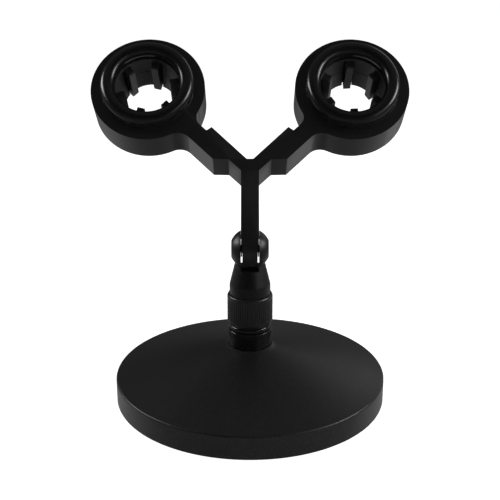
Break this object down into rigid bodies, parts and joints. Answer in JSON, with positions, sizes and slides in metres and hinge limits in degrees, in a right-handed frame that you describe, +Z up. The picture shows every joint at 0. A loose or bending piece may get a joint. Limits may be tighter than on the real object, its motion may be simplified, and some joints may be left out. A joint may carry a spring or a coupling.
{
  "type": "twin microphone holder on desk stand",
  "caption": "Y-shaped yoke with two padded ring sockets for microphones, tilting on a ball fork and knurled sleeve above a heavy round desk base.",
  "frame": {"origin": "centre of the rubber pad's underside, on the surface the stand rests on", "axes": "+Z up the stand's post, -Y towards the front of the rings, +X to the right seen from the front"},
  "size_m": [0.1814, 0.1652, 0.1897],
  "materials": {
    "powder_coat": "fine-textured black powder coat",
    "pad_rubber": "matte black rubber sheet",
    "black_plated": "glossy black plating",
    "black_satin": "satin black anodised",
    "black_rubber": "glossy black moulded rubber",
    "black_nylon": "matte black moulded nylon",
    "black_oxide_steel": "black oxide",
    "zinc_steel": "zinc plated"
  },
  "bodies": {
    "base": {"base_casting": "powder_coat", "base_pad": "pad_rubber", "base_bolt": "zinc_steel", "base_washer": "zinc_steel", "spring_washer": "zinc_steel", "threaded_post": "black_plated"},
    "lock_ring": {"lock_ring": "black_plated"},
    "sleeve": {"knurled_sleeve": "black_plated", "thrust_washer": "black_nylon"},
    "fork": {"swivel_fork": "black_plated", "pan_washer": "black_oxide_steel", "pan_screw": "black_oxide_steel", "pivot_screw": "black_oxide_steel", "pivot_nut": "black_oxide_steel", "friction_washer_left": "black_nylon", "friction_washer_right": "black_nylon"},
    "yoke": {"yoke": "black_satin"},
    "insert_left": {"shock_ring_left": "black_rubber", "grip_cup_left": "black_nylon"},
    "insert_right": {"shock_ring_right": "black_rubber", "grip_cup_right": "black_nylon"}
  },
  "joints": [
    {"name": "lock_ring_turn", "type": "hinge", "parent": "base", "child": "lock_ring", "pos_m": [0, 0, 0.0419], "axis": [0, 0, 1], "range_deg": [-60, 60]},
    {"name": "sleeve_turn", "type": "hinge", "parent": "base", "child": "sleeve", "pos_m": [0, 0, 0.052], "axis": [0, 0, 1], "range_deg": [-60, 60]},
    {"name": "head_pan", "type": "hinge", "parent": "sleeve", "child": "fork", "pos_m": [0, 0, 0.0601], "axis": [0, 0, 1], "continuous": true},
    {"name": "yoke_tilt", "type": "hinge", "parent": "fork", "child": "yoke", "pos_m": [0, 0, 0.0867], "axis": [1, 0, 0], "range_deg": [-45, 85]},
    {"name": "insert_turn_left", "type": "hinge", "parent": "yoke", "child": "insert_left", "pos_m": [-0.05815, 0.06077, 0.15815], "axis": [0, -0.7615, 0.6481], "continuous": true},
    {"name": "insert_turn_right", "type": "hinge", "parent": "yoke", "child": "insert_right", "pos_m": [0.05815, 0.06077, 0.15815], "axis": [0, -0.7615, 0.6481], "continuous": true}
  ]
}
